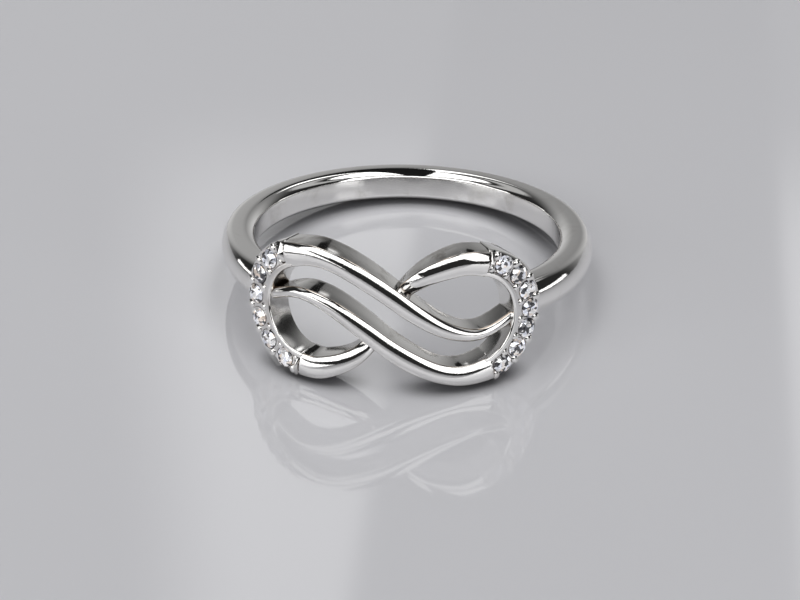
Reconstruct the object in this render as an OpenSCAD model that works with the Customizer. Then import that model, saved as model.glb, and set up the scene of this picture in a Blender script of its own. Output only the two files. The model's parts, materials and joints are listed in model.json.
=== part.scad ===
// Infinity ring, lying on its side as it would on a table
// Cast metal band with a pierced infinity motif, and round stones set in both ends of the motif
// Millimetres, +Z up, the motif faces -Y, and z = 0 is the surface that the ring lies on

/* [Band] */
// Radius of the finger hole
hole_r = 8.5; // [7.5:0.1:10.5]
// Width of the band along the finger
band_w = 1.8; // [1.2:0.1:2.4]
// Wall of the band at the back, opposite the motif
back_wall = 1.55; // [1:0.05:2]
// Wall of the band at the shoulders, beside the motif
shoulder_wall = 1.85; // [1.4:0.05:2.4]
// How far the band's outer face domes outwards
band_dome = 0.3; // [0.1:0.05:0.4]

/* [Motif] */
// Length of the motif, measured along its front curve
motif_l = 17.9; // [16:0.1:20]
// Height of the motif, along the finger
motif_h = 7.8; // [7:0.1:9]
// Depth of the motif's strands, from front to back
motif_d = 1.6; // [1.3:0.1:2.2]
// Air between the finger and the back of the motif
motif_lift = 1.1; // [0.6:0.1:1.4]
// Inner radius of the motif's two round ends
loop_r = 2.5; // [2.3:0.1:2.7]
// Widest width of a plain strand
strand_w = 1.2; // [0.9:0.1:1.4]
// How far a strand's front domes outwards
strand_dome = 0.3; // [0.1:0.05:0.5]

/* [Setting] */
// Width of the stone-set arc at the outermost end of the motif
arc_w = 1.95; // [1.8:0.05:2.2]
// Width of the smooth rail along the arc's inner edge
rail_w = 0.25; // [0.15:0.05:0.35]
// Height of that rail above the floor that the stones are set in
rail_h = 0.1; // [0.05:0.05:0.2]
// Diameter of a stone
stone_d = 1.05; // [0.8:0.05:1.1]
// Air all round a stone in its seat
seat_gap = 0.02; // [0.01:0.01:0.04]
// Diameter of a round bead of metal that holds the stones
bead_d = 0.4; // [0.3:0.05:0.5]

/* [Hidden] */
LEFT_STONES = 6;
RIGHT_STONES = 7;

// Radii of the motif, all about the axis of the finger hole
back_r = hole_r + motif_lift;
front_r = back_r + motif_d;
// The stones' floor lies a little below the crest of the strands
floor_r = front_r - rail_h - rail_h;

// Middle of each round end, and the height of a strand's middle line above the motif's middle
loop_u = motif_l / 2 - arc_w - loop_r;
line_v = (motif_h / 2 + loop_r) / 2;

// Stone-set arcs: both run from their upper end, measured from the outward direction
LEFT_ARC = [69, -84];
RIGHT_ARC = [77, -71];
// Where the first and the last stone sit in each arc
LEFT_SPAN = [45, -66];
RIGHT_SPAN = [60, -58];
// Beads reach this far over both edges of the stones' floor
bead_bite = bead_d / 8;
// Place of a bead's middle in shares of the floor's width
bead_in = (bead_d / 2 - bead_bite) / (arc_w - rail_w);

// Both strands leave an arc along its middle line, and the table starts at the top of the arc
// The middle line at this angle of the arc steers a strand's start
LEAD_DEG = 62;
// A strand starts this far inside the end of its arc, in degrees of the arc
JOIN_DEG = 1;
// The long strand, from the top of the left arc to the inside of the right one
// Columns: along in shares of loop_u, along in shares of loop_r, up in shares of line_v,
// width in shares of strand_w, set back in shares of motif_d
LONG_STRAND = [
    [-1.00,  0.00, 1.00, 1.07, 0.00],
    [-0.67,  0.00, 0.95, 0.97, 0.00],
    [-0.33,  0.00, 0.75, 1.00, 0.00],
    [ 0.00,  0.00, 0.47, 0.94, 0.00],
    [ 0.33,  0.00, 0.14, 0.92, 0.00],
    [ 0.67,  0.00, -0.14, 0.81, 0.00],
    [ 1.00,  0.00, -0.28, 0.65, 0.02],
    [ 1.00,  0.50, -0.25, 0.56, 0.08],
    [ 1.00,  1.15, -0.05, 0.54, 0.20]];
// The short strand, from the top of the right arc to its end behind the long strand
SHORT_STRAND = [
    [1.00, 0.00, 1.00, 1.17, 0.00],
    [0.76, 0.00, 0.95, 1.12, 0.04],
    [0.49, 0.00, 0.80, 0.95, 0.14],
    [0.31, 0.00, 0.62, 0.82, 0.30],
    [0.20, 0.00, 0.46, 0.75, 0.50],
    [0.09, 0.00, 0.30, 0.70, 0.60]];
// How much deeper than the others the hidden end of the short strand reaches
tail_drop = 0.25;

// Smoothness of the curves
STEPS = 5;
DOME_STEPS = 6;
ARC_STEP = 6;
ROUND_FN = 96;
SEAT_FN = 24;
BEAD_FN = 10;
EPS = 0.01;
CLEAR = 1;

// Band: its outer circle is shifted towards the motif, so its wall grows from back to shoulder
arc_out_deg = deg_at(loop_u + loop_r + arc_w);
band_shift = (shoulder_wall - back_wall) / (1 + cos(arc_out_deg));
band_r = hole_r + back_wall + band_shift;
band_dome_r = (pow(band_w / 2, 2) + pow(band_dome, 2)) / (2 * band_dome);
// The band ends inside the arcs, on a plane through their inner front edge
band_end_deg = deg_at(loop_u + loop_r);
// How far that plane leans towards the middle of the finger hole
END_LEAN = 15;

// The ring lies on the lower back edges of its two round ends and on the back of the band
front_reach = back_r * cos(deg_at(loop_u));
back_reach = band_r - band_shift - band_dome;
lean = atan((motif_h - band_w) / 2 / (front_reach + back_reach));
rest_z = motif_h / 2 * cos(lean) - front_reach * sin(lean);
// The footprint's middle is the origin: the crest of the motif is the front, the band's back the rear
crest_drop = line_v / 2;
rest_y = (front_r * cos(lean) + crest_drop * sin(lean) - (back_reach + band_dome) * cos(lean)) / 2;

// Heights of a cut stone's crown, girdle and pavilion, in shares of its diameter
stone_r = stone_d / 2;
CROWN_SHARE = 0.15;
GIRDLE_SHARE = 0.04;
PAVILION_SHARE = 0.43;
// Radii of its table, of the tips of its stars and of the tips of its lower halves, in shares of its radius
TABLE_SHARE = 0.56;
STAR_SHARE = 0.76;
LOWER_SHARE = 0.22;
// Sides of its table
SIDES = 8;

// Angle from the front at distance u along the motif's front curve
function deg_at(u) = u / front_r * 180 / PI;

// Point at u along the front curve, v up and r out from the finger hole's axis
function on_curve(u, v, r) = [r * sin(deg_at(u)), -r * cos(deg_at(u)), v];

// Row of a table by number, where numbers past an end give the end row
function row_at(rows, k) = rows[max(0, min(len(rows) - 1, k))];

// Smooth curve through the rows of a table, at place t from the first row
function smooth_row(rows, t) =
    let (k = min(floor(t), len(rows) - 2))
    let (f = t - k)
    let (a = row_at(rows, k - 1), b = row_at(rows, k), c = row_at(rows, k + 1), d = row_at(rows, k + 2))
    b + f / 2 * (c - a + f * (2 * a - 5 * b + 4 * c - d + f * (3 * (b - c) + d - a)));

// Inner and outer edge of an arc at angle a, for the arc at the +X end
function arc_inner(a) = [loop_u + loop_r * cos(a), loop_r * sin(a)];
function arc_outer(a) = [loop_u + (loop_r + arc_w) * cos(a), motif_h / 2 * sin(a)];

// Real sizes of a strand's row: u, v, width and set-back
function strand_row(row) = [
    row[0] * loop_u + row[1] * loop_r,
    row[2] * line_v,
    row[3] * strand_w,
    row[4] * motif_d];

// The row on the arc that steers the strand's start, on the same side as the table's first row
function lead_row(table) =
    let (inner = arc_inner(LEAD_DEG), outer = arc_outer(LEAD_DEG), middle = (inner + outer) / 2)
    [sign(table[0][0]) * middle[0], middle[1], norm(outer - inner), 0];

// Rows of a strand in real sizes at every step, from angle start_deg of its arc
function strand_rows(table, start_deg) =
    let (rows = concat([lead_row(table)], [for (row = table) strand_row(row)]))
    let (from = (start_deg - JOIN_DEG - LEAD_DEG) / (90 - LEAD_DEG), last = len(rows) - 1)
    let (count = ceil((last - from) * STEPS))
    [for (i = [0:count]) smooth_row(rows, from + (last - from) * i / count)];

// Direction across the strand at row i, a unit vector in u and v
function across_at(rows, i) =
    let (d = row_at(rows, i + 1) - row_at(rows, i - 1))
    [-d[1], d[0]] / norm([d[0], d[1]]);

// Section of a strand: a flat back, straight sides and a domed front
function strand_section(row, across, tail) = [
    for (q = concat(
        [[-1, back_r - tail]],
        [for (j = [0:DOME_STEPS])
            let (x = 2 * j / DOME_STEPS - 1)
            [x, front_r - row[3] - strand_dome * x * x]],
        [[1, back_r - tail]]))
    on_curve(row[0] + q[0] * row[2] / 2 * across[0], row[1] + q[0] * row[2] / 2 * across[1], q[1])];

// Section of a stone-set arc at angle a: inner wall, rail, floor and outer wall
function arc_section(a) =
    let (inner = arc_inner(a), outer = arc_outer(a), rail = rail_w / norm(outer - inner))
    [for (q = [
        [0, back_r], [0, floor_r + rail_h], [rail, floor_r + rail_h], [rail, floor_r],
        [1 - rail / 2, floor_r], [1, floor_r - rail_h], [1, back_r]])
    let (p = inner + q[0] * (outer - inner))
    on_curve(p[0], p[1], q[1])];

// Place of a stone's middle or of a bead, at angle a and share s of the way across the stones' floor
function set_point(a, s) =
    let (inner = arc_inner(a), outer = arc_outer(a), rail = rail_w / norm(outer - inner))
    inner + (rail + s * (1 - rail)) * (outer - inner);

// Angle of stone i of n, counted from 1 at the upper end
function stone_angle(span, n, i) = span[0] + (span[1] - span[0]) * (i - 1) / (n - 1);

// Closed skin through equal sections, with both ends filled
module skin(sections) {
    m = len(sections[0]);
    n = len(sections);
    points = [for (s = sections) for (p = s) p];
    sides = [for (i = [0:n - 2]) for (j = [0:m - 1])
        let (a = i * m + j, b = i * m + (j + 1) % m)
        each [[a, b, b + m], [a, b + m, a + m]]];
    first = [for (j = [1:m - 2]) [0, j + 1, j]];
    last = [for (j = [1:m - 2]) [(n - 1) * m, (n - 1) * m + j, (n - 1) * m + j + 1]];
    polyhedron(points, concat(sides, first, last), convexity = 10);
}

// Strand swept along its table from the end of an arc, with a tail that grows deeper to the last row
module strand(table, start_deg, tail = 0) {
    rows = strand_rows(table, start_deg);
    last = len(rows) - 1;
    skin([for (i = [0:last]) strand_section(rows[i], across_at(rows, i), tail * pow(i / last, 2))]);
}

// Stone-set arc at the +X end, between two angles
module set_arc(arc) {
    count = ceil((arc[0] - arc[1]) / ARC_STEP);
    skin([for (i = [0:count]) arc_section(arc[0] + (arc[1] - arc[0]) * i / count)]);
}

// Puts a thing that points along +Z onto the motif, pointing straight out
module seat_on(p, r) {
    rotate([0, 0, deg_at(p[0])])
        translate([0, -r, p[1]])
            rotate([90, 0, 0])
                children();
}

// Pocket that a stone sits in, open at the front
module pocket() {
    r = stone_r + seat_gap;
    depth = stone_d * PAVILION_SHARE + seat_gap;
    rise = stone_d * GIRDLE_SHARE + CLEAR;
    translate([0, 0, -depth])
        cylinder(h = depth + EPS, r1 = seat_gap, r2 = r, $fn = SEAT_FN);
    cylinder(h = rise, r = r, $fn = SEAT_FN);
}

// All pockets of one arc, made for the +X end
module pockets(span, n) {
    for (i = [1:n])
        seat_on(set_point(stone_angle(span, n, i), 0.5), floor_r)
            pocket();
}

// Round beads between the stones of one arc and past both ends, one at each edge of the floor
module beads(span, n) {
    half_step = (span[0] - span[1]) / (n - 1) / 2;
    for (i = [0:n], s = [0, 1]) {
        a = stone_angle(span, n, i) - half_step;
        seat_on(set_point(a, s == 0 ? bead_in : 1 - bead_in), floor_r)
            sphere(d = bead_d, $fn = BEAD_FN);
    }
}

// One stone-set arc with its beads and pockets, made for the +X end
module arc_with_seats(arc, span, n) {
    difference() {
        union() {
            set_arc(arc);
            beads(span, n);
        }
        pockets(span, n);
    }
}

// Long and short strand that start at the tops of the two arcs, at the given angles
module strands(long_deg, short_deg) {
    strand(LONG_STRAND, long_deg);
    strand(SHORT_STRAND, short_deg, tail_drop);
}

// The whole motif as one closed mesh
module motif() {
    resize([0, 0, 0])
        union() {
            arc_with_seats(RIGHT_ARC, RIGHT_SPAN, RIGHT_STONES);
            mirror([1, 0, 0])
                arc_with_seats(LEFT_ARC, LEFT_SPAN, LEFT_STONES);
            strands(LEFT_ARC[0], RIGHT_ARC[0]);
            // Half a turn about the motif's front axis gives the strands that start at the bottom
            rotate([0, 180, 0])
                strands(-RIGHT_ARC[1], -LEFT_ARC[1]);
        }
}

// Outline of the band's outer half, domed at the rim
module band_profile() {
    intersection() {
        translate([0, -band_w / 2])
            square([band_r + CLEAR, band_w]);
        union() {
            translate([0, -band_w / 2])
                square([band_r - band_dome, band_w]);
            translate([band_r - band_dome_r, 0])
                circle(r = band_dome_r, $fn = ROUND_FN);
        }
    }
}

// Band, open behind the motif
module band() {
    difference() {
        translate([0, -band_shift, 0])
            rotate_extrude($fn = ROUND_FN)
                band_profile();
        translate([0, 0, -band_w])
            cylinder(h = 2 * band_w, r = hole_r, $fn = ROUND_FN);
        translate([0, 0, -band_w])
            linear_extrude(2 * band_w)
                front_gap();
    }
}

// Space behind the motif that the band leaves free, from inside one arc to inside the other
module front_gap() {
    end_x = front_r * sin(band_end_deg);
    end_y = front_r * cos(band_end_deg);
    near_y = hole_r / 2;
    far_y = 2 * front_r;
    near_x = end_x - (end_y - near_y) * tan(END_LEAN);
    far_x = end_x + (far_y - end_y) * tan(END_LEAN);
    polygon([[-near_x, -near_y], [near_x, -near_y], [far_x, -far_y], [-far_x, -far_y]]);
}

// Brings a thing from the finger hole's own axes to how the ring lies
module resting() {
    translate([0, rest_y, rest_z])
        rotate([-lean, 0, 0])
            children();
}

// Cast metal of the whole ring
module metal_ring() {
    color("silver")
        resting()
            union() {
                band();
                motif();
            }
}

// Points of a level ring, n of them from angle from
function level_ring(n, r, z, from = 0) = [for (k = [0:n - 1])
    let (a = from + 360 * k / n)
    [r * cos(a), r * sin(a), z]];

// Round brilliant: table, stars, kites and upper halves on the crown, lower halves and kites below
module stone() {
    half = 180 / SIDES;
    around = 2 * SIDES;
    girdle_h = stone_d * GIRDLE_SHARE;
    crown_h = stone_d * CROWN_SHARE;
    depth = stone_d * PAVILION_SHARE;
    table_r = stone_r * TABLE_SHARE;
    star_r = stone_r * STAR_SHARE;
    lower_r = stone_r * LOWER_SHARE;
    // The tips of stars and lower halves lie in the planes of the kites on both sides
    star_z = girdle_h + crown_h * (stone_r - star_r * cos(half)) / (stone_r - table_r);
    lower_z = -depth * (1 - lower_r * cos(half) / stone_r);
    points = concat(
        level_ring(SIDES, table_r, girdle_h + crown_h),
        level_ring(SIDES, star_r, star_z, half),
        level_ring(around, stone_r, girdle_h),
        level_ring(around, stone_r, 0),
        level_ring(SIDES, lower_r, lower_z, half),
        [[0, 0, -depth]]);
    // Where each ring of points starts in the list
    star = SIDES;
    top = star + SIDES;
    low = top + around;
    tip = low + around;
    culet = tip + SIDES;
    faces = concat(
        [[for (k = [0:SIDES - 1]) SIDES - 1 - k]],
        [for (k = [0:SIDES - 1])
            let (next = (k + 1) % SIDES, last = (k + SIDES - 1) % SIDES)
            let (a = 2 * k, b = a + 1, c = 2 * next)
            each [
                [k, next, star + k],
                [k, star + k, top + a, star + last],
                [star + k, top + b, top + a],
                [star + k, top + c, top + b],
                [low + a, low + b, tip + k],
                [low + b, low + c, tip + k],
                [culet, tip + last, low + a, tip + k]]],
        [for (k = [0:around - 1])
            let (next = (k + 1) % around)
            [top + k, top + next, low + next, low + k]]);
    color("white")
        polyhedron(points, faces);
}

// Stone i of an arc made for the +X end
module set_stone(span, n, i) {
    seat_on(set_point(stone_angle(span, n, i), 0.5), floor_r)
        stone();
}

module right_stone(i) {
    resting()
        set_stone(RIGHT_SPAN, RIGHT_STONES, i);
}

module left_stone(i) {
    resting()
        mirror([1, 0, 0])
            set_stone(LEFT_SPAN, LEFT_STONES, i);
}

metal_ring();
for (i = [1:LEFT_STONES])
    left_stone(i);
for (i = [1:RIGHT_STONES])
    right_stone(i);
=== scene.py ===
import json
import math
import bpy
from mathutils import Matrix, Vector


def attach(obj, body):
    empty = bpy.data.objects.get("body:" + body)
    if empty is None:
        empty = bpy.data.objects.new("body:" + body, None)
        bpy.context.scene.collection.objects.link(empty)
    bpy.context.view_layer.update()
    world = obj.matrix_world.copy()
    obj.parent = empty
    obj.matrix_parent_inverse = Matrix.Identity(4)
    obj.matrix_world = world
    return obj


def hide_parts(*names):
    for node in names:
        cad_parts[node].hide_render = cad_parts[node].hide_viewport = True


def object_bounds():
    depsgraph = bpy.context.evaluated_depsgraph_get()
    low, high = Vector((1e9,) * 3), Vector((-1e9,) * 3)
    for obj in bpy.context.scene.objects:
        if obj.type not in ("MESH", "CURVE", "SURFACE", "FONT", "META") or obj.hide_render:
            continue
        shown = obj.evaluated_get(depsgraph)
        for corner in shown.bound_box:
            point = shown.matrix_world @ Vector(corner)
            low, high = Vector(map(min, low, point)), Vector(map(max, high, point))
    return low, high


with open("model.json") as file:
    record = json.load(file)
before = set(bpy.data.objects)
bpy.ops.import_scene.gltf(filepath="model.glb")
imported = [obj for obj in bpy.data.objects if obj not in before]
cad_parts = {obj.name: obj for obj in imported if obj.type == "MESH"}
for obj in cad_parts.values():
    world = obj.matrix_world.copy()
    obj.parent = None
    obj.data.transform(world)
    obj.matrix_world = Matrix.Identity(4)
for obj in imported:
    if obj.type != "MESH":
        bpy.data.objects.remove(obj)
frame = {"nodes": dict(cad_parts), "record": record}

# The motif is modelled in millimetres, laid out flat and face up: X along it, Y up the finger, Z out of
# its front. Then it is stood up, bent round the finger and laid on the floor, in metres. The band is
# modelled round the finger straight away.

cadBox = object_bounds()
mm = 0.001
hole = frame["record"]["mounts"][0]
lean = math.atan2(hole["axis"][1], hole["axis"][2])  # how far the ring leans back from upright
ringCentre = Vector(hole["pos_m"])
holeRadius = hole["dims"]["r_mm"]
frontRadius = 11.2  # motif's front, measured from the middle of the finger hole
tight = 0.001  # points this close to a place are picked with it
near = 0.01  # the same where they may lie a little off


# Helpers


def deselectAll():
    if bpy.context.object and bpy.context.object.mode != "OBJECT":
        bpy.ops.object.mode_set(mode="OBJECT")
    bpy.ops.object.select_all(action="DESELECT")


def activate(*pieces):
    # Selects the pieces, and the first one is active
    deselectAll()
    for piece in pieces:
        piece.select_set(True)
    bpy.context.view_layer.objects.active = pieces[0]


def nameNew(name):
    # Names the object that was just added
    piece = bpy.context.object
    piece.name = name
    piece.data.name = name
    return piece


def applyPlace():
    # Moves the selected objects' place, turn and size into their meshes
    bpy.ops.object.transform_apply(location=True, rotation=True, scale=True)


def edit(piece, mode="VERT", action="DESELECT"):
    activate(piece)
    bpy.ops.object.mode_set(mode="EDIT")
    bpy.ops.mesh.select_mode(type=mode)
    bpy.ops.mesh.select_all(action=action)


def edgeEnds(mesh, edge):
    return [mesh.vertices[k].co for k in edge.vertices]


def pick(piece, kind, test):
    # Leaves edit mode for a moment, selects what passes the test and goes back
    bpy.ops.object.mode_set(mode="OBJECT")
    mesh = piece.data
    for group in (mesh.polygons, mesh.edges, mesh.vertices):
        group.foreach_set("select", [False] * len(group))
    if kind == "FACE":
        for face in mesh.polygons:
            face.select = test(face.center, face.normal)
    elif kind == "EDGE":
        for edge in mesh.edges:
            edge.select = test(*edgeEnds(mesh, edge))
    else:
        for vertex in mesh.vertices:
            vertex.select = test(vertex.co)
    bpy.ops.object.mode_set(mode="EDIT")
    bpy.ops.mesh.select_mode(type=kind)


def closeEnd(piece, test):
    # One face over the open edges that pass the test
    edit(piece, "EDGE")
    bpy.ops.mesh.select_non_manifold()
    bpy.ops.object.mode_set(mode="OBJECT")
    for edge in piece.data.edges:
        edge.select = edge.select and test(*edgeEnds(piece.data, edge))
    bpy.ops.object.mode_set(mode="EDIT")
    bpy.ops.mesh.edge_face_add()
    bpy.ops.object.mode_set(mode="OBJECT")


def addModifier(piece, kind, **settings):
    activate(piece)
    modifier = piece.modifiers.new(kind.title(), kind)
    for key, value in settings.items():
        setattr(modifier, key, value)


def applyModifiers(piece):
    activate(piece)
    for modifier in list(piece.modifiers):
        bpy.ops.object.modifier_apply(modifier=modifier.name)


def cleanMesh(piece, distance=0.0005):
    edit(piece, action="SELECT")
    bpy.ops.mesh.remove_doubles(threshold=distance)
    bpy.ops.mesh.normals_make_consistent(inside=False)
    bpy.ops.object.mode_set(mode="OBJECT")


def smooth(piece, angle):
    activate(piece)
    bpy.ops.object.shade_smooth_by_angle(angle=math.radians(angle))


def mirror(piece):
    # From the right to the left
    activate(piece)
    piece.scale = (-1, 1, 1)
    applyPlace()
    edit(piece, action="SELECT")
    bpy.ops.mesh.flip_normals()
    bpy.ops.object.mode_set(mode="OBJECT")


def bendRoundFinger(piece):
    # Stands the flat layout up and bends it round the finger
    activate(piece)
    piece.rotation_euler = (math.pi / 2, 0, 0)
    applyPlace()
    along = [vertex.co.x for vertex in piece.data.vertices]
    addModifier(piece, "SIMPLE_DEFORM", deform_method="BEND", deform_axis="Z",
                angle=(max(along) - min(along)) / frontRadius)
    applyModifiers(piece)
    piece.location = (0, -frontRadius, 0)
    applyPlace()


def layDown(piece):
    # From the finger's own axes in millimetres to how the ring lies, in metres
    activate(piece)
    piece.scale = (mm, mm, mm)
    piece.rotation_euler = (-lean, 0, 0)
    piece.location = ringCentre
    applyPlace()


def onRing(piece):
    # Every new piece rides on the ring's one body and is part of its metal
    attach(piece, "root")
    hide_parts("metal_ring")


def finishMotif(piece, angle):
    bendRoundFinger(piece)
    smooth(piece, angle)
    layDown(piece)
    onRing(piece)


# Camera

camera = {
    "offset": (11.258, -118.572, 73.196),  # from the middle of the finger hole
    "turn": (57.103, -0.020, 5.629),
    "lens": 112.5,
    "sensor": 36,
    "clip": (0.001, 10),
}


def addCamera():
    place = ringCentre + Vector(camera["offset"]) * mm
    turn = [math.radians(angle) for angle in camera["turn"]]
    bpy.ops.object.camera_add(location=place, rotation=turn)
    view = bpy.context.object
    view.name = "photoCamera"
    view.data.lens = camera["lens"]
    view.data.sensor_width = camera["sensor"]
    view.data.clip_start, view.data.clip_end = camera["clip"]
    bpy.context.scene.camera = view


addCamera()
print("camera placed")


# Material nodes


def addNode(tree, kind, **settings):
    node = tree.nodes.new("ShaderNode" + kind)
    for key, value in settings.items():
        setattr(node, key, value)
    return node


def feed(tree, socket, source):
    # A number, a colour or another node's output into a socket
    if isinstance(source, (int, float)):
        socket.default_value = source
    elif isinstance(source, tuple):
        socket.default_value = (*source, 1)
    else:
        tree.links.new(source, socket)


def addMath(tree, operation, *values):
    node = addNode(tree, "Math", operation=operation)
    for socket, value in zip(node.inputs, values):
        feed(tree, socket, value)
    return node.outputs["Value"]


def smoothStep(tree, value, start, end):
    # Rises smoothly from 0 at start to 1 at end
    node = addNode(tree, "MapRange", interpolation_type="SMOOTHSTEP")
    for name, source in (("Value", value), ("From Min", start), ("From Max", end)):
        feed(tree, node.inputs[name], source)
    return node.outputs["Result"]


def addMix(tree, factor, first, second):
    # Colour between first and second
    node = addNode(tree, "Mix", data_type="RGBA")
    for number, source in ((0, factor), (6, first), (7, second)):  # its sockets for colours
        feed(tree, node.inputs[number], source)
    return node.outputs[2]


def newGroup(name, vectors, numbers, results):
    # Empty node group with vector inputs, number inputs and number outputs
    group = bpy.data.node_groups.new(name, "ShaderNodeTree")
    for labels, way, kind in (
            (vectors, "INPUT", "NodeSocketVector"),
            (numbers, "INPUT", "NodeSocketFloat"),
            (results, "OUTPUT", "NodeSocketFloat")):
        for label in labels:
            group.interface.new_socket(label, in_out=way, socket_type=kind)
    given = group.nodes.new("NodeGroupInput").outputs
    made = group.nodes.new("NodeGroupOutput").inputs
    return group, given, made


def newMaterial(name, colour, **settings):
    material = bpy.data.materials.new(name)
    material.use_nodes = True
    tree = material.node_tree
    shader = tree.nodes["Principled BSDF"]
    shader.inputs["Base Color"].default_value = (*colour, 1)
    for key, value in settings.items():
        shader.inputs[key].default_value = value
    return material, tree, shader


def paint(piece, material):
    piece.data.materials.clear()
    piece.data.materials.append(material)


def paintFaces(piece, material, test):
    # Gives the faces that pass the test a material of their own
    piece.data.materials.append(material)
    slot = len(piece.data.materials) - 1
    for face in piece.data.polygons:
        if test(face.center, face.normal):
            face.material_index = slot


# Silver

marks = {
    "smudgeScale": 420,  # per metre
    "smudgeDetail": 4,
    "smudgeRoughness": 0.62,
    "smudgeWarp": 0.6,
    "smudgeEdge": (0.5, 0.72),
    "lineScale": 5200,
    "lineDetail": 2,
    "lineStretch": (1, 1, 7),
    "lineDepth": 0.0000012,
    "creviceReach": 0.0004,
    "creviceDepth": 0.5,
    "creviceSamples": 16,
}

# Strength is how much of the smudges shows, clean and dull are the roughness without and with them,
# and openness is how open a place may be and still look like a crevice, where tarnish and painted shade
# go
finishes = {
    "polished": {
        "colour": (0.94, 0.93, 0.915), "smudge": (0.80, 0.78, 0.755), "creviceTarnishAndShade": (0.30, 0.225, 0.17),
        "strength": 0.5, "clean": 0.03, "dull": 0.07, "openness": 0.62,
    },
    "set": {
        "colour": (0.93, 0.92, 0.905), "smudge": (0.72, 0.67, 0.62), "creviceTarnishAndShade": (0.10, 0.07, 0.05),
        "strength": 0.5, "clean": 0.05, "dull": 0.12, "openness": 0.86,
    },
    # Brown-dark copy for the strands' rims: a painted dark reflection line along them
    "rim": {
        "colour": (0.45, 0.385, 0.325), "smudge": (0.36, 0.30, 0.245), "creviceTarnishAndShade": (0.14, 0.10, 0.075),
        "strength": 0.6, "clean": 0.08, "dull": 0.16, "openness": 0.7,
    },
    # Darker copy for the strands' side walls: painted shade, with darker smudges
    "wall": {
        "colour": (0.72, 0.71, 0.695), "smudge": (0.36, 0.34, 0.315), "creviceTarnishAndShade": (0.20, 0.15, 0.115),
        "strength": 0.85, "clean": 0.09, "dull": 0.18, "openness": 0.66,
    },
    "satin": {
        "colour": (0.89, 0.88, 0.865), "smudge": (0.66, 0.645, 0.62), "creviceTarnishAndShade": (0.24, 0.18, 0.135),
        "strength": 0.8, "clean": 0.16, "dull": 0.26, "openness": 0.62,
    },
    # Darker copy for the stones' pockets: painted shade with tarnish
    "pocket": {
        "colour": (0.85, 0.83, 0.80), "smudge": (0.55, 0.49, 0.43), "creviceTarnishAndShade": (0.12, 0.08, 0.06),
        "strength": 0.8, "clean": 0.08, "dull": 0.2, "openness": 0.7,
    },
}


def makePolishMarks():
    # Soft smudges, and fine lines left by the polishing wheel
    group, given, made = newGroup(
        "polishMarks", ("Vector",), ("Smudge Scale", "Line Scale"), ("Smudge", "Lines"))
    cloud = addNode(group, "TexNoise")
    cloud.inputs["Detail"].default_value = marks["smudgeDetail"]
    cloud.inputs["Roughness"].default_value = marks["smudgeRoughness"]
    cloud.inputs["Distortion"].default_value = marks["smudgeWarp"]
    group.links.new(given["Vector"], cloud.inputs["Vector"])
    group.links.new(given["Smudge Scale"], cloud.inputs["Scale"])
    group.links.new(smoothStep(group, cloud.outputs["Fac"], *marks["smudgeEdge"]), made["Smudge"])
    stretch = addNode(group, "Mapping")
    stretch.inputs["Scale"].default_value = marks["lineStretch"]
    lines = addNode(group, "TexNoise")
    lines.inputs["Detail"].default_value = marks["lineDetail"]
    group.links.new(given["Vector"], stretch.inputs["Vector"])
    group.links.new(stretch.outputs["Vector"], lines.inputs["Vector"])
    group.links.new(given["Line Scale"], lines.inputs["Scale"])
    group.links.new(lines.outputs["Fac"], made["Lines"])
    return group


def makeCrevices():
    # Mask of the places that something else stands close to, for painted shade there, with tarnish on
    # the silver
    group, given, made = newGroup("crevices", (), ("Reach", "Openness", "Depth"), ("Mask",))
    closeBy = addNode(group, "AmbientOcclusion", samples=marks["creviceSamples"])
    group.links.new(given["Reach"], closeBy.inputs["Distance"])
    deepest = addMath(group, "SUBTRACT", given["Openness"], given["Depth"])
    group.links.new(smoothStep(group, closeBy.outputs["AO"], given["Openness"], deepest), made["Mask"])
    return group


def addCrevices(tree, reach, openness, depth):
    node = addNode(tree, "Group", node_tree=crevices)
    for name, value in (("Reach", reach), ("Openness", openness), ("Depth", depth)):
        node.inputs[name].default_value = value
    return node.outputs["Mask"]


def makeSilver(name):
    finish = finishes[name]
    material, tree, shader = newMaterial(name + "Silver", finish["colour"], Metallic=1.0)
    coords = addNode(tree, "TexCoord")
    worn = addNode(tree, "Group", node_tree=polishMarks)
    worn.inputs["Smudge Scale"].default_value = marks["smudgeScale"]
    worn.inputs["Line Scale"].default_value = marks["lineScale"]
    tree.links.new(coords.outputs["Object"], worn.inputs["Vector"])
    smudge = addMath(tree, "MULTIPLY", worn.outputs["Smudge"], finish["strength"])
    # Painted shade and tarnish: the colour darkens towards the crevice colour close to other parts
    creviceTarnishAndShade = addCrevices(tree, marks["creviceReach"], finish["openness"], marks["creviceDepth"])
    tinted = addMix(tree, smudge, finish["colour"], finish["smudge"])
    tree.links.new(addMix(tree, creviceTarnishAndShade, tinted, finish["creviceTarnishAndShade"]), shader.inputs["Base Color"])
    rough = addMath(tree, "MULTIPLY_ADD", smudge, finish["dull"] - finish["clean"], finish["clean"])
    tree.links.new(rough, shader.inputs["Roughness"])
    bump = addNode(tree, "Bump")
    bump.inputs["Distance"].default_value = marks["lineDepth"]
    tree.links.new(worn.outputs["Lines"], bump.inputs["Height"])
    tree.links.new(bump.outputs["Normal"], shader.inputs["Normal"])
    return material


polishMarks = makePolishMarks()
crevices = makeCrevices()
silver = makeSilver("polished")
satinSilver = makeSilver("satin")
setSilver = makeSilver("set")
rimShadeLineSilver = makeSilver("rim")
wallShadedSilver = makeSilver("wall")
pocketShadedSilver = makeSilver("pocket")
print("silver made")


# Band round the finger

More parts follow.
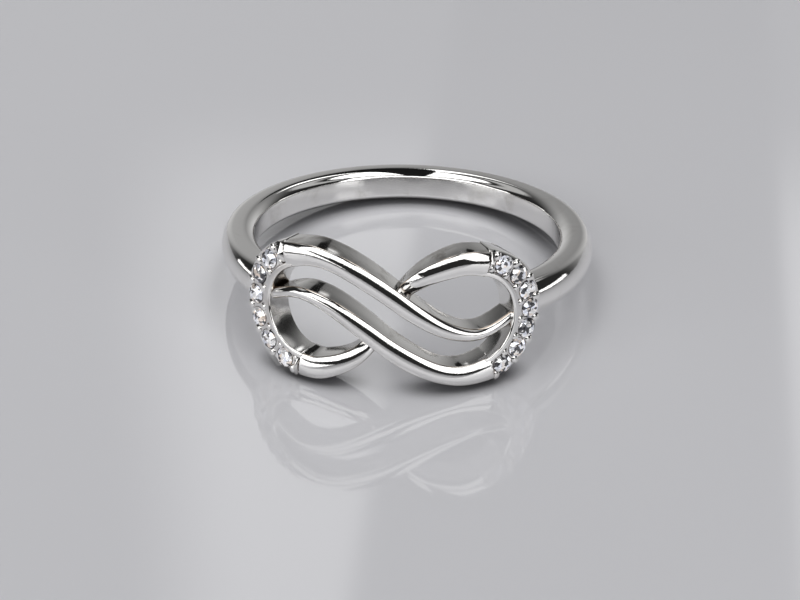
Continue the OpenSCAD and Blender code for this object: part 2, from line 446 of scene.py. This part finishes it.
band = {
    "width": 1.9,
    "rise": 0.05,  # its middle lies this much higher than the motif's
    "outerRadius": 10.31,  # at the crest of the domed outside
    "shift": 0.15,  # the outside lies this far towards the motif, so the shoulders are thicker
    "dome": 0.36,
    "strips": 16,  # that the dome is made of
    "outerRound": 0.26,
    "outerSegments": 8,
    "innerRound": 0.45,
    "innerSegments": 10,
    "innerStretch": 1.6,  # the rounding inside reaches this much further over the top
    "endAt": (6.553, 9.083),  # where the band's ends meet the arcs
    "endLean": 15,
    "frontFrom": -2,  # everything in front of this may be cut for the ends
    "steps": 288,
    "smoothAngle": 40,
}


def addBandOutline():
    # Section of the band, domed outside and with rounded edges
    half = band["width"] / 2
    crest = band["outerRadius"]
    middle = (holeRadius + crest) / 2
    deselectAll()
    bpy.ops.mesh.primitive_plane_add(size=1, location=(0, 0, 0))
    piece = nameNew("band")
    piece.scale = (crest - holeRadius, band["width"], 1)
    piece.rotation_euler = (math.pi / 2, 0, 0)
    piece.location = (middle, 0, 0)
    applyPlace()
    # The outside is split into strips that dome outwards
    edit(piece, "EDGE")
    pick(piece, "EDGE", lambda a, b: min(a.x, b.x) > crest - near)
    bpy.ops.mesh.subdivide(number_cuts=band["strips"] - 1)
    edit(piece)
    for k in range(band["strips"] + 1):
        share = 2 * k / band["strips"] - 1
        pick(piece, "VERT", lambda p: p.x > crest - near and abs(p.z - share * half) < tight)
        bpy.ops.transform.translate(value=(-band["dome"] * share ** 2, 0, 0))
    pick(piece, "VERT", lambda p: abs(abs(p.z) - half) < tight and p.x > middle)
    bpy.ops.mesh.bevel(offset=band["outerRound"], segments=band["outerSegments"], affect="VERTICES",
                       offset_type="OFFSET")
    pick(piece, "VERT", lambda p: abs(abs(p.z) - half) < tight and p.x < holeRadius + near)
    bpy.ops.mesh.bevel(offset=band["innerRound"], segments=band["innerSegments"], affect="VERTICES",
                       offset_type="OFFSET")
    pick(piece, "VERT", lambda p: p.x < holeRadius + band["innerRound"] + near)
    bpy.ops.transform.resize(value=(band["innerStretch"], 1, 1), center_override=(holeRadius, 0, 0))
    bpy.ops.mesh.select_all(action="SELECT")
    bpy.ops.mesh.delete(type="ONLY_FACE")
    return piece


def cutBandEnds(piece):
    # Both ends are cut where the arcs take over, and closed
    endX, endY = band["endAt"]
    turn = math.radians(band["endLean"])
    front = band["frontFrom"]
    edit(piece)
    for side in (-1, 1):
        pick(piece, "FACE", lambda p, n: p.y < front)
        bpy.ops.mesh.bisect(
            plane_co=(side * endX, -endY, 0), plane_no=(side * math.cos(turn), math.sin(turn), 0),
            use_fill=False, clear_inner=False, clear_outer=False, threshold=0.0001)
    pick(piece, "FACE", lambda p, n: p.y < front and abs(p.x) < endX + (-p.y - endY) * math.tan(turn))
    bpy.ops.mesh.delete(type="FACE")
    for side in (-1, 1):
        closeEnd(piece, lambda a, b: side * (a.x + b.x) > 0 and (a.y + b.y) / 2 < front)
    cleanMesh(piece)


def addBand():
    middle = (holeRadius + band["outerRadius"]) / 2
    piece = addBandOutline()
    edit(piece, action="SELECT")
    bpy.ops.mesh.spin(steps=band["steps"], angle=2 * math.pi, center=(0, 0, 0), axis=(0, 0, 1))
    cleanMesh(piece)
    # The outside moves towards the motif, which makes the shoulders thicker than the back
    edit(piece)
    pick(piece, "VERT", lambda p: math.hypot(p.x, p.y) > middle)
    bpy.ops.transform.translate(value=(0, -band["shift"], 0))
    cutBandEnds(piece)
    smooth(piece, band["smoothAngle"])
    paint(piece, silver)
    paintFaces(piece, satinSilver, lambda p, n: math.hypot(p.x, p.y) < holeRadius + 2 * near)
    edit(piece, action="SELECT")
    bpy.ops.transform.translate(value=(0, 0, band["rise"]))
    bpy.ops.object.mode_set(mode="OBJECT")
    layDown(piece)
    onRing(piece)


addBand()
print("band made")


# Arcs that the stones are set in

arc = {
    "middle": 4.5,  # middle of each round end, along the motif
    "innerRadius": 2.5,
    "outer": (4.45, 3.9),  # half axes of the outer edge
    "railWidth": 0.32,
    "railZ": -0.1,
    "railRound": 0.11,
    "railSegments": 5,
    "setRail": 0.25,  # the stones and beads are spaced from here to the outer edge
    "floorZ": -0.2,
    "floorRings": (0.33, 0.66, 0.84),
    "edgeZ": -0.42,
    "edgeRound": 0.14,
    "edgeSegments": 4,
    "backZ": -1.6,
    "softening": 0.045,  # rounds every other edge that is sharper than softenFrom
    "softenFrom": 35,
    "softenSegments": 3,
    "steps": 120,
    "smoothAngle": 30,
    "sides": {
        "left": {"arc": (69, -84), "span": (45, -66), "stones": 6},
        "right": {"arc": (77, -71), "span": (60, -58), "stones": 7},
    },
}

stone = {
    "diameter": 1.05,
    "pavilion": 0.43,  # depth below the widest place, in diameters
    "gap": 0.04,  # between a stone and its pocket
    "pocketSides": 40,
    "pocketTop": 0.8,  # the cutter goes on upwards this far
}


def onArc(angle, share):
    # Place at an angle of the right arc, and at a share of the way from its inner to its outer edge
    turn = math.radians(angle)
    inner, middle = arc["innerRadius"], arc["middle"]
    outerX, outerY = arc["outer"]
    start = Vector((middle + inner * math.cos(turn), inner * math.sin(turn)))
    end = Vector((middle + outerX * math.cos(turn), outerY * math.sin(turn)))
    return start.lerp(end, share)


def setPoint(angle, share):
    # The same for the stones' floor, which starts beside the rail
    width = (onArc(angle, 1) - onArc(angle, 0)).length
    rail = arc["setRail"] / width
    return onArc(angle, rail + share * (1 - rail))


def addArc(side):
    inner = arc["innerRadius"]
    rail = inner + arc["railWidth"]
    outerX, outerY = arc["outer"]
    deselectAll()
    bpy.ops.mesh.primitive_circle_add(vertices=arc["steps"], radius=inner, location=(0, 0, 0))
    piece = nameNew(side + "Arc")
    edit(piece, "EDGE", "SELECT")
    bpy.ops.transform.translate(value=(0, 0, arc["backZ"]))
    # From the inner wall over the rail, the floor and the edge down to the back: half axes and height
    rings = [(inner, inner, arc["railZ"]), (rail, rail, arc["railZ"]), (rail, rail, arc["floorZ"])]
    for share in arc["floorRings"]:
        rings.append((rail + share * (outerX - rail), rail + share * (outerY - rail), arc["floorZ"]))
    rings += [(outerX, outerY, arc["edgeZ"]), (outerX, outerY, arc["backZ"])]
    last = (inner, inner, arc["backZ"])
    for now in rings:
        bpy.ops.mesh.extrude_region_move(TRANSFORM_OT_translate={"value": (0, 0, now[2] - last[2])})
        if now[:2] != last[:2]:
            bpy.ops.transform.resize(value=(now[0] / last[0], now[1] / last[1], 1),
                                     center_override=(0, 0, 0))
        last = now
    pick(piece, "EDGE", lambda a, b: max(a.z, b.z) < arc["backZ"] + tight)
    bpy.ops.mesh.bridge_edge_loops()
    pick(piece, "EDGE", lambda a, b: abs(a.z - arc["railZ"]) + abs(b.z - arc["railZ"]) < tight
         and max(a.xy.length, b.xy.length) < inner + tight)
    bpy.ops.mesh.bevel(offset=arc["railRound"], segments=arc["railSegments"], affect="EDGES")
    pick(piece, "EDGE", lambda a, b: abs(a.z - arc["edgeZ"]) + abs(b.z - arc["edgeZ"]) < tight)
    bpy.ops.mesh.bevel(offset=arc["edgeRound"], segments=arc["edgeSegments"], affect="EDGES")
    # Everything past the arc's two ends goes
    for way, angle in zip((1, -1), arc["sides"][side]["arc"]):
        start = onArc(angle, 0) - Vector((arc["middle"], 0))
        end = onArc(angle, 1) - Vector((arc["middle"], 0))
        across = (end - start).normalized()
        pick(piece, "FACE", lambda p, n: way * p.y > 0)
        bpy.ops.mesh.bisect(
            plane_co=(start.x, start.y, 0), plane_no=(-way * across.y, way * across.x, 0),
            clear_outer=True, threshold=0.0001)
    closeEnd(piece, lambda a, b: a.y + b.y > 0)
    closeEnd(piece, lambda a, b: a.y + b.y < 0)
    cleanMesh(piece)
    addModifier(piece, "BEVEL", width=arc["softening"], segments=arc["softenSegments"],
                limit_method="ANGLE", angle_limit=math.radians(arc["softenFrom"]),
                harden_normals=False)
    applyModifiers(piece)
    paint(piece, setSilver)
    paintFaces(piece, satinSilver, lambda p, n: p.xy.length < inner + near)
    activate(piece)
    piece.location = (arc["middle"], 0, 0)
    applyPlace()
    return piece


def stoneAngles(side):
    first, last = arc["sides"][side]["span"]
    count = arc["sides"][side]["stones"]
    return [first + (last - first) * k / (count - 1) for k in range(count)]


def cutPockets(piece, side):
    # Cones for the stones, all in one cutter
    depth = stone["diameter"] * stone["pavilion"] + stone["gap"]
    radius = stone["diameter"] / 2 + stone["gap"]
    cones = []
    for angle in stoneAngles(side):
        place = setPoint(angle, 0.5)
        deselectAll()
        bpy.ops.mesh.primitive_cone_add(
            vertices=stone["pocketSides"], radius1=stone["gap"], radius2=radius, depth=depth,
            location=(place.x, place.y, arc["floorZ"] - depth / 2))
        cone = bpy.context.object
        edit(cone, "FACE")
        pick(cone, "FACE", lambda p, n: p.z > depth / 2 - near)
        bpy.ops.mesh.extrude_region_move(TRANSFORM_OT_translate={"value": (0, 0, stone["pocketTop"])})
        cones.append(cone)
    activate(*cones)
    bpy.ops.object.join()
    cutter = bpy.context.object
    # The pocket walls take the darker pocket silver: painted shade with tarnish in the seats
    paint(cutter, pocketShadedSilver)
    addModifier(piece, "BOOLEAN", object=cutter, operation="DIFFERENCE", solver="EXACT",
                use_self=True, material_mode="TRANSFER")
    applyModifiers(piece)
    bpy.data.objects.remove(cutter)


for side in arc["sides"]:
    piece = addArc(side)
    cutPockets(piece, side)
    if side == "left":
        mirror(piece)
    cleanMesh(piece, distance=0.0002)
    finishMotif(piece, arc["smoothAngle"])
print("arcs made")


# Beads and bright-cut leaves

bead = {
    "inner": (0.16, 0.54, 0.46),  # place as a share of the floor's width, length, width
    "outer": (0.77, 0.58, 0.50),
    "height": 0.32,
    "sink": 0.05,
    "segments": 24,
    "rings": 14,
    "smoothAngle": 60,
}

fan = {
    "across": 1.3,
    "height": 0.3,
    "sink": 0.03,
    "gap": 0.03,  # to the last stone and to the end of the arc
    "sides": 14,
    "smoothAngle": 5,
}


def placeCopy(first, place, middle, size, height):
    # A copy that lies across the arc
    if (middle - place).length > near:
        across = middle - place
    else:
        across = place - Vector((arc["middle"], 0))
    copy = first.copy()
    copy.data = first.data.copy()
    bpy.context.collection.objects.link(copy)
    copy.scale = size
    copy.rotation_euler = (0, 0, math.atan2(across.y, across.x))
    copy.location = (place.x, place.y, height)
    return copy


def joinCopies(first, copies, side, angle):
    # The copies become one piece, with the name of the one that they were copied from
    name = first.name
    bpy.data.objects.remove(first)
    activate(*copies)
    applyPlace()
    bpy.ops.object.join()
    piece = nameNew(name)
    paint(piece, setSilver)
    if side == "left":
        mirror(piece)
    finishMotif(piece, angle)


def addBeads(side):
    # Two beads on each side of every stone, one at each edge of the floor
    angles = stoneAngles(side)
    step = angles[0] - angles[1]
    deselectAll()
    bpy.ops.mesh.primitive_uv_sphere_add(
        segments=bead["segments"], ring_count=bead["rings"], radius=0.5)
    first = nameNew(side + "Beads")
    copies = []
    for k in range(len(angles) + 1):
        angle = angles[0] + step / 2 - step * k
        for share, length, width in (bead["inner"], bead["outer"]):
            copies.append(placeCopy(
                first, setPoint(angle, share), setPoint(angle, 0.5),
                (length, width, bead["height"]), arc["floorZ"] - bead["sink"]))
    joinCopies(first, copies, side, bead["smoothAngle"])


def addFans(side):
    # One bright-cut leaf, shaped like a fan, at each end of the row of stones
    angles = stoneAngles(side)
    deselectAll()
    bpy.ops.mesh.primitive_cone_add(vertices=fan["sides"], radius1=0.5, depth=1, location=(0, 0, 0.5))
    first = nameNew(side + "Fans")
    applyPlace()
    copies = []
    for way, endAngle, stoneAngle in zip((1, -1), arc["sides"][side]["arc"], (angles[0], angles[-1])):
        radius = (setPoint(stoneAngle, 0.5) - Vector((arc["middle"], 0))).length
        start = stoneAngle + way * math.degrees((stone["diameter"] / 2 + fan["gap"]) / radius)
        place = setPoint((start + endAngle) / 2, 0.5)
        width = abs(math.radians(endAngle - start)) * radius - fan["gap"]
        copies.append(placeCopy(
            first, place, place,
            (fan["across"], width, fan["height"]), arc["floorZ"] - fan["sink"]))
    joinCopies(first, copies, side, fan["smoothAngle"])


for side in arc["sides"]:
    addBeads(side)
    addFans(side)
print("beads and leaves made")


# Strands of the motif

# The rows follow a strand's middle line from the arc where it starts: along, up, width, set back
strand = {
    "long": [
        (-4.50, 3.20, 1.28, 0.00),
        (-3.02, 3.04, 1.16, 0.00),
        (-1.49, 2.40, 1.20, 0.00),
        (0.00, 1.50, 1.13, 0.00),
        (1.49, 0.45, 1.10, 0.00),
        (3.02, -0.45, 0.97, 0.00),
        (4.50, -0.90, 0.78, 0.03),
        (5.75, -0.80, 0.67, 0.13),
        (7.38, -0.16, 0.65, 0.32),
    ],
    "short": [
        (4.50, 3.20, 1.40, 0.00),
        (3.42, 3.04, 1.34, 0.06),
        (2.21, 2.56, 1.14, 0.22),
        (1.40, 1.98, 0.98, 0.48),
        (0.90, 1.47, 0.90, 0.80),
        (0.41, 0.96, 0.84, 0.96),
    ],
    "dome": 0.22,
    "domeShares": (0.36, 0.68),  # where the dome's middle edges lie, from its crest to its foot
    "rim": 0.07,
    "rimSlope": (0.42, 0.72),  # how far up a face of the rim looks
    "bulge": 0.05,  # the walls stand out this much below the rims
    "bulgeDepth": 0.42,
    "tailDrop": 0.25,  # the short strands' back reaches this much deeper at the end
    "leadAngle": 62,  # of the place on the arc that leads into the first row
    "overlap": 1,  # degrees that a strand starts inside the arc
    "crease": 0.8,
    "steps": 3,  # from one row to the next
    "levels": 3,
    "pathDetail": 24,
    "pathOrder": 4,
    "smoothAngle": 40,
}


def smoothRow(rows, place):
    # Smooth curve through the rows, at a place counted in rows
    k = min(int(place), len(rows) - 2)
    f = place - k
    before, here, after, beyond = (rows[max(0, min(len(rows) - 1, k + n))] for n in (-1, 0, 1, 2))
    return [
        b + f / 2 * (c - a + f * (2 * a - 5 * b + 4 * c - d + f * (3 * (b - c) + d - a)))
        for a, b, c, d in zip(before, here, after, beyond)]


def strandRows(table, startAngle):
    # The table's rows at even steps, with a start that follows the arc's middle line
    lead = strand["leadAngle"]
    inner = onArc(lead, 0)
    outer = onArc(lead, 1)
    sign = 1 if table[0][0] > 0 else -1
    rows = [(sign * (inner.x + outer.x) / 2, (inner.y + outer.y) / 2, (outer - inner).length, 0)]
    rows += table
    first = (startAngle - strand["overlap"] - lead) / (90 - lead)
    last = len(rows) - 1
    count = math.ceil((last - first) * strand["steps"])
    return [smoothRow(rows, first + (last - first) * k / count) for k in range(count + 1)]


def addPath(rows):
    # Flat curve through the rows' places
    deselectAll()
    bpy.ops.curve.primitive_nurbs_path_add(location=(0, 0, 0))
    path = bpy.context.object
    path.data.dimensions = "2D"
    path.data.resolution_u = strand["pathDetail"]
    spline = path.data.splines[0]
    spline.points.add(len(rows) - len(spline.points))
    for point, row in zip(spline.points, rows):
        point.co = (row[0], row[1], 0, 1)
    spline.order_u = strand["pathOrder"]
    spline.use_endpoint_u = True
    return path


def addBar(name, width):
    # Section of a strand, ready to be extruded along X
    half = width / 2
    dome = strand["dome"]
    topZ = -dome - near
    backZ = arc["backZ"]
    rimZ = -dome - strand["rim"]
    bulgeZ = rimZ - strand["bulgeDepth"]
    shares = (*strand["domeShares"], 1 - strand["rim"] / half)
    strips = 2 * len(shares) + 2
    deselectAll()
    bpy.ops.mesh.primitive_plane_add(size=1, location=(0, 0, 0), rotation=(0, math.pi / 2, 0))
    piece = nameNew(name)
    applyPlace()
    edit(piece, action="SELECT")
    bpy.ops.transform.resize(value=(1, width, -backZ - dome), center_override=(0, 0, 0))
    bpy.ops.transform.translate(value=(0, 0, (backZ - dome) / 2))
    pick(piece, "EDGE", lambda a, b: min(a.z, b.z) > topZ)
    bpy.ops.mesh.subdivide(number_cuts=strips - 1)
    # The cuts move to where the dome and the rims need them
    for k, share in enumerate(shares, 1):
        cut = k * width / strips
        for way in (-1, 1):
            pick(piece, "VERT", lambda p: p.z > topZ and abs(p.y - way * cut) < near)
            bpy.ops.transform.translate(value=(0, way * (share * half - cut), dome * (1 - share ** 2)))
    pick(piece, "VERT", lambda p: p.z > topZ and abs(p.y) < near)
    bpy.ops.transform.translate(value=(0, 0, dome))
    # Each wall is cut twice: at the foot of its rim and where it stands out furthest
    wall = half - near
    for way in (-1, 1):
        pick(piece, "EDGE", lambda a, b: min(way * a.y, way * b.y) > wall)
        bpy.ops.mesh.subdivide(number_cuts=1)
        pick(piece, "VERT", lambda p: way * p.y > wall and backZ + near < p.z < topZ)
        bpy.ops.transform.translate(value=(0, 0, rimZ - (backZ - dome) / 2))
        pick(piece, "EDGE", lambda a, b: min(way * a.y, way * b.y) > wall
             and min(a.z, b.z) < backZ + near)
        bpy.ops.mesh.subdivide(number_cuts=1)
        pick(piece, "VERT", lambda p: way * p.y > wall and backZ + near < p.z < rimZ - near)
        bpy.ops.transform.translate(value=(0, 0, bulgeZ - (backZ + rimZ) / 2))
        pick(piece, "VERT", lambda p: way * p.y > wall and p.z > rimZ - near)
        bpy.ops.transform.translate(value=(0, -way * strand["bulge"], 0))
    bpy.ops.object.mode_set(mode="OBJECT")
    return piece


def addStrand(name, table, startAngle, tail, halfTurn):
    rows = strandRows(table, startAngle)
    path = addPath(rows)
    stations = [0]
    for here, there in zip(rows, rows[1:]):
        stations.append(stations[-1] + math.dist(here[:2], there[:2]))
    length = stations[-1]
    width = rows[0][2]
    backFrom = arc["backZ"] + 5 * near  # points below this belong to the back
    piece = addBar(name, width)
    edit(piece, "FACE", "SELECT")
    for here, there in zip(stations, stations[1:]):
        bpy.ops.mesh.extrude_region_move(TRANSFORM_OT_translate={"value": (there - here, 0, 0)})
    for station, row in zip(stations, rows):
        pick(piece, "VERT", lambda p: abs(p.x - station) < tight)
        bpy.ops.transform.resize(value=(1, row[2] / width, 1), center_override=(station, 0, 0))
        # The front is set back and the back of a tail goes deeper
        for drop, front in ((row[3], True), (tail * (station / length) ** 2, False)):
            if drop:
                pick(piece, "VERT", lambda p: abs(p.x - station) < tight and (p.z > backFrom) == front)
                bpy.ops.transform.translate(value=(0, 0, -drop))
    # Crisp back edges and ends
    pick(piece, "EDGE", lambda a, b: max(a.z, b.z) < backFrom
         or max(a.x, b.x) < tight or min(a.x, b.x) > length - tight)
    bpy.ops.transform.edge_crease(value=strand["crease"])
    bpy.ops.object.mode_set(mode="OBJECT")
    addModifier(piece, "CURVE", object=path, deform_axis="POS_X")
    addModifier(piece, "SUBSURF", levels=strand["levels"], render_levels=strand["levels"])
    applyModifiers(piece)
    bpy.data.objects.remove(path)
    cleanMesh(piece, distance=0.0001)
    steep, flat = strand["rimSlope"]
    paint(piece, silver)
    # Rims: a painted dark reflection line
    paintFaces(piece, rimShadeLineSilver, lambda p, n: steep <= n.z < flat)
    # Side walls: painted shade
    paintFaces(piece, wallShadedSilver, lambda p, n: abs(n.z) < steep)
    if halfTurn:
        activate(piece)
        piece.rotation_euler = (0, 0, math.pi)
        applyPlace()
    finishMotif(piece, strand["smoothAngle"])


leftArc = arc["sides"]["left"]["arc"]
rightArc = arc["sides"]["right"]["arc"]
addStrand("upperLongStrand", strand["long"], leftArc[0], 0, False)
addStrand("upperShortStrand", strand["short"], rightArc[0], strand["tailDrop"], False)
addStrand("lowerLongStrand", strand["long"], -rightArc[1], 0, True)
addStrand("lowerShortStrand", strand["short"], -leftArc[1], strand["tailDrop"], True)
print("strands made")


# Stones

gem = {
    "clear": (1.0, 1.0, 1.0),
    # Flash colours: painted reflections in the stones
    "cool": (0.87, 0.90, 1.0),
    "warm": (0.88, 0.76, 0.66),
    "dark": (0.03, 0.03, 0.035),
    "coolEdge": (0.55, 0.8),  # a flash begins at the first share and is full at the second
    "warmEdge": (0.75, 0.9),
    "darkEdge": (0.67, 0.69),
    "tintScale": 5200,  # per metre
    "refraction": 2.4,
    "surfaceShine": 0.5,
    # The stones glow by themselves: painted light in place of light that the facets below send back
    "paintedGlow": 0.2,  # light that the facets below send back
}


def makeCutStone():
    # Clear, with painted reflections: cool, warm and dark flashes that change from facet to facet
    material, tree, shader = newMaterial("cutStone", gem["clear"], Roughness=0.0, IOR=gem["refraction"])
    shader.inputs["Transmission Weight"].default_value = 1.0
    shader.inputs["Metallic"].default_value = gem["surfaceShine"]
    shader.inputs["Emission Strength"].default_value = gem["paintedGlow"]
    coords = addNode(tree, "TexCoord")
    cells = addNode(tree, "TexVoronoi", distance="MANHATTAN")
    cells.inputs["Scale"].default_value = gem["tintScale"]
    tree.links.new(coords.outputs["Object"], cells.inputs["Vector"])
    split = addNode(tree, "SeparateColor")
    tree.links.new(cells.outputs["Color"], split.inputs["Color"])
    tint = gem["clear"]
    for name, channel in (("cool", "Red"), ("warm", "Green"), ("dark", "Blue")):
        flash = smoothStep(tree, split.outputs[channel], *gem[name + "Edge"])
        tint = addMix(tree, flash, tint, gem[name])
    tree.links.new(tint, shader.inputs["Base Color"])
    # The painted glow takes the flash colours
    tree.links.new(tint, shader.inputs["Emission Color"])
    return material


cutStone = makeCutStone()
for node in frame["nodes"]:
    if "stone" in node:
        paint(bpy.data.objects[node], cutStone)
print("stones finished")


# Floor

floor = {
    "size": 1.6,  # metres
    "colour": (0.745, 0.745, 0.775),
    "roughness": 0.05,
    "refraction": 1.5,
    "shade": (0.18, 0.18, 0.19),  # where the ring stands close to it
    "shadeReach": 0.0016,
    "shadeOpenness": 0.9,
    "shadeDepth": 0.6,
    "sheetRadius": 0.052,  # past this the ring's polish mirrors the studio and not the floor
    "sheetSoftness": 0.001,
}


def makeFloorMaterial():
    material, tree, shader = newMaterial(
        "paleGloss", floor["colour"], Roughness=floor["roughness"], IOR=floor["refraction"])
    shade = addCrevices(tree, floor["shadeReach"], floor["shadeOpenness"], floor["shadeDepth"])
    tree.links.new(addMix(tree, shade, floor["colour"], floor["shade"]), shader.inputs["Base Color"])
    coords = addNode(tree, "TexCoord")
    away = addNode(tree, "VectorMath", operation="LENGTH")
    tree.links.new(coords.outputs["Object"], away.inputs[0])
    radius = floor["sheetRadius"]
    past = smoothStep(tree, away.outputs["Value"], radius - floor["sheetSoftness"], radius)
    path = addNode(tree, "LightPath")
    clear = addNode(tree, "BsdfTransparent")
    mix = addNode(tree, "MixShader")
    through = addMath(tree, "MULTIPLY", past, path.outputs["Is Glossy Ray"])
    tree.links.new(through, mix.inputs["Fac"])
    tree.links.new(shader.outputs["BSDF"], mix.inputs[1])
    tree.links.new(clear.outputs["BSDF"], mix.inputs[2])
    tree.links.new(mix.outputs["Shader"], tree.nodes["Material Output"].inputs["Surface"])
    return material


def addFloor():
    deselectAll()
    bpy.ops.mesh.primitive_plane_add(size=floor["size"], location=(0, 0, cadBox[0][2]))
    piece = nameNew("floorSheet")
    paint(piece, makeFloorMaterial())


addFloor()
print("floor made")


# Studio light

# Directions as seen from the ring, in degrees: across is 0 at the front and grows towards +X, up is 0 at
# the horizon. Each panel covers what the ones before it show: left, right, low, high, how far the left
# and the right edge move for each degree up, softness, brightness.
studio = {
    "base": 0.02,
    "backdrop": (0.72, 0.72, 0.73),
    "panels": [
        (-181, -140, -90, 22, 0, 0, 26, 0.60),  # grey backdrop, left and right half
        (140, 181, -90, 22, 0, 0, 26, 0.60),
        (-118, -90, -3, 1.5, 0, 0, 0.6, 1.6),  # low strips at both sides
        (90, 117, -3, 3.6, 0, 0, 0.6, 1.6),
        (-160, -72, 38, 51, 0, 0, 3, 0.45),  # upper part of the side walls
        (72, 160, 38, 51, 0, 0, 3, 0.45),
        (-181, 181, 57, 91, 0, 0, 2, 1.8),  # overhead light
        (-181, -168, 30, 91, 0, 0, 2, 1.7),  # its reach towards the back
        (168, 181, 30, 91, 0, 0, 2, 1.7),
        (-66, 60, 18, 46, 0.5, 0, 0.8, 1.7),  # main light, front
        (36, 60, 4, 19, -1.86, 0, 0.8, 1.7),  # its lower right corner
        (-30, 50, -4, 22, 0, -0.8, 0.8, 0.02),  # dark below it, in the middle
        (-78, -22, -4, 16.4, 0, -1.6, 0.8, 1.6),  # low light, front left
    ],
    # The same for the gap between the overhead lights. There across is the tilt to the side from
    # straight up, and up runs from the front over the top to the back.
    "gaps": [
        (-8.5, 7.5, 42, 160, 0, 0, 0.5, 0.01),
    ],
}
panelSockets = ("Left", "Right", "Low", "High", "Left Slant", "Right Slant", "Softness")


def makePanelGroup():
    # Mask of one light panel
    group, given, made = newGroup("lightPanel", (), ("Across", "Up", *panelSockets), ("Mask",))
    rise = addMath(group, "SUBTRACT", given["Up"], given["Low"])
    left = addMath(group, "MULTIPLY_ADD", rise, given["Left Slant"], given["Left"])
    right = addMath(group, "MULTIPLY_ADD", rise, given["Right Slant"], given["Right"])
    outside = addMath(group, "MULTIPLY", given["Softness"], -1)
    masks = []
    for value, edge, way in (
            (given["Across"], left, 1), (given["Across"], right, -1),
            (given["Up"], given["Low"], 1), (given["Up"], given["High"], -1)):
        past = addMath(group, "MULTIPLY", addMath(group, "SUBTRACT", value, edge), way)
        masks.append(smoothStep(group, past, outside, given["Softness"]))
    mask = masks[0]
    for other in masks[1:]:
        mask = addMath(group, "MULTIPLY", mask, other)
    group.links.new(mask, made["Mask"])
    return group


def makeStudio():
    world = bpy.data.worlds.new("studio")
    bpy.context.scene.world = world
    world.use_nodes = True
    tree = world.node_tree
    coords = addNode(tree, "TexCoord")
    split = addNode(tree, "SeparateXYZ")
    tree.links.new(coords.outputs["Generated"], split.inputs["Vector"])
    right, high = split.outputs["X"], split.outputs["Z"]
    forward = addMath(tree, "MULTIPLY", split.outputs["Y"], -1)
    across = addMath(tree, "DEGREES", addMath(tree, "ARCTAN2", right, forward))
    up = addMath(tree, "DEGREES", addMath(tree, "ARCSINE", high))
    tilt = addMath(tree, "DEGREES", addMath(tree, "ARCTAN2", right, high))
    over = addMath(tree, "DEGREES", addMath(tree, "ARCTAN2", high, forward))
    panels = [(panel, across, up) for panel in studio["panels"]]
    panels += [(panel, tilt, over) for panel in studio["gaps"]]
    group = makePanelGroup()
    light = studio["base"]
    for (*edges, brightness), sideways, upwards in panels:
        mask = addNode(tree, "Group", node_tree=group)
        tree.links.new(sideways, mask.inputs["Across"])
        tree.links.new(upwards, mask.inputs["Up"])
        for name, value in zip(panelSockets, edges):
            mask.inputs[name].default_value = value
        mix = addNode(tree, "Mix", data_type="FLOAT")
        feed(tree, mix.inputs["Factor"], mask.outputs["Mask"])
        feed(tree, mix.inputs["A"], light)
        feed(tree, mix.inputs["B"], brightness)
        light = mix.outputs["Result"]
    # The camera sees a plain pale backdrop
    path = addNode(tree, "LightPath")
    shown = addMix(tree, path.outputs["Is Camera Ray"], light, studio["backdrop"])
    tree.links.new(shown, tree.nodes["Background"].inputs["Color"])


makeStudio()
bpy.context.scene.view_settings.view_transform = "Standard"
print("studio light made")
